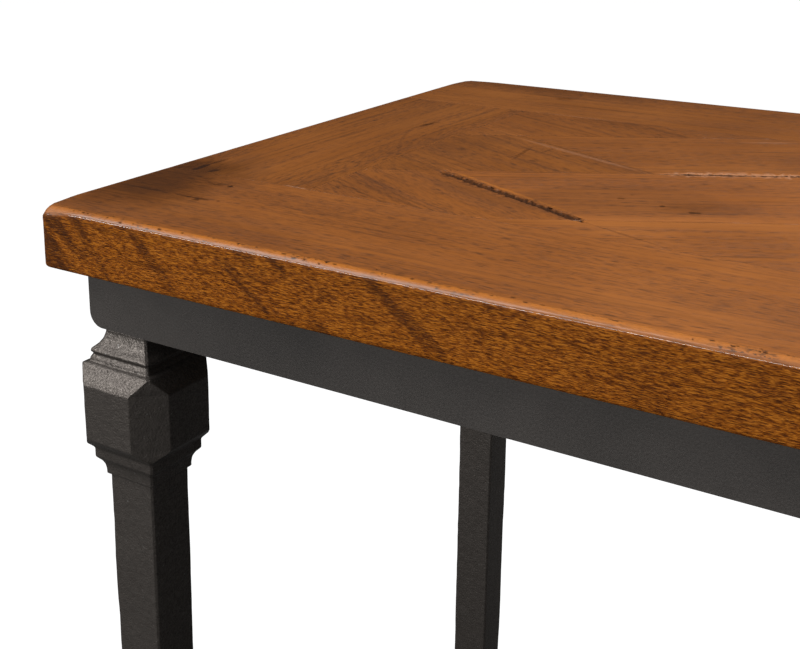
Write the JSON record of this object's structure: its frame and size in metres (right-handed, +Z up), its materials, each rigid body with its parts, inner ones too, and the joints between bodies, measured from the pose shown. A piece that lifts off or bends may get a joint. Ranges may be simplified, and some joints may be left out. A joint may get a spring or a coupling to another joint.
{
  "type": "side table",
  "caption": "Long rectangular side table with a framed herringbone wood top, a slim steel apron and square cast-iron legs with faceted capitals.",
  "frame": {"origin": "on the floor under the middle of the top", "axes": "+Z up, +X along the length to the right, -Y is the front"},
  "size_m": [1.4, 0.62, 0.762],
  "materials": {
    "frame_wood": "stained and worn hardwood under satin lacquer",
    "inlay_wood": "stained hardwood boards under satin lacquer",
    "plywood": "raw plywood",
    "batten_wood": "raw softwood",
    "dowel_wood": "fluted beech",
    "apron_steel": "fine-textured charcoal powder coat",
    "leg_iron": "rough cast, waxed charcoal",
    "fastener_steel": "zinc plated",
    "glide_nylon": "moulded nylon"
  },
  "bodies": {
    "root": {"apron_back": "apron_steel", "apron_front": "apron_steel", "apron_left": "apron_steel", "apron_right": "apron_steel", "batten_left": "batten_wood", "batten_right": "batten_wood", "cross_rail_left": "apron_steel", "cross_rail_right": "apron_steel", "cross_rail_screws": "fastener_steel", "cross_rail_washers": "fastener_steel", "flange_back": "apron_steel", "flange_front": "apron_steel", "flange_left": "apron_steel", "flange_right": "apron_steel", "flange_screws": "fastener_steel", "flange_washers": "fastener_steel", "foot_glides": "glide_nylon", "frame_dowels": "dowel_wood", "inlay_left_long_back": "inlay_wood", "inlay_left_long_corner": "inlay_wood", "inlay_left_long_front": "inlay_wood", "inlay_left_long_middle": "inlay_wood", "inlay_left_long_tip": "inlay_wood", "inlay_left_short_back": "inlay_wood", "inlay_left_short_front": "inlay_wood", "inlay_left_short_middle": "inlay_wood", "inlay_left_wedge_back": "inlay_wood", "inlay_left_wedge_front": "inlay_wood", "inlay_right_long_back": "inlay_wood", "inlay_right_long_corner": "inlay_wood", "inlay_right_long_front": "inlay_wood", "inlay_right_long_middle": "inlay_wood", "inlay_right_long_tip": "inlay_wood", "inlay_right_short_back": "inlay_wood", "inlay_right_short_front": "inlay_wood", "inlay_right_short_middle": "inlay_wood", "inlay_right_wedge_back": "inlay_wood", "inlay_right_wedge_front": "inlay_wood", "leg_back_left": "leg_iron", "leg_back_right": "leg_iron", "leg_bolts": "fastener_steel", "leg_front_left": "leg_iron", "leg_front_right": "leg_iron", "leg_locating_pins": "fastener_steel", "leg_plate_back_left": "apron_steel", "leg_plate_back_right": "apron_steel", "leg_plate_front_left": "apron_steel", "leg_plate_front_right": "apron_steel", "leg_washers": "fastener_steel", "top_back_rail": "frame_wood", "top_core_panel": "plywood", "top_front_rail": "frame_wood", "top_left_end_board": "frame_wood", "top_right_end_board": "frame_wood"}
  },
  "joints": []
}
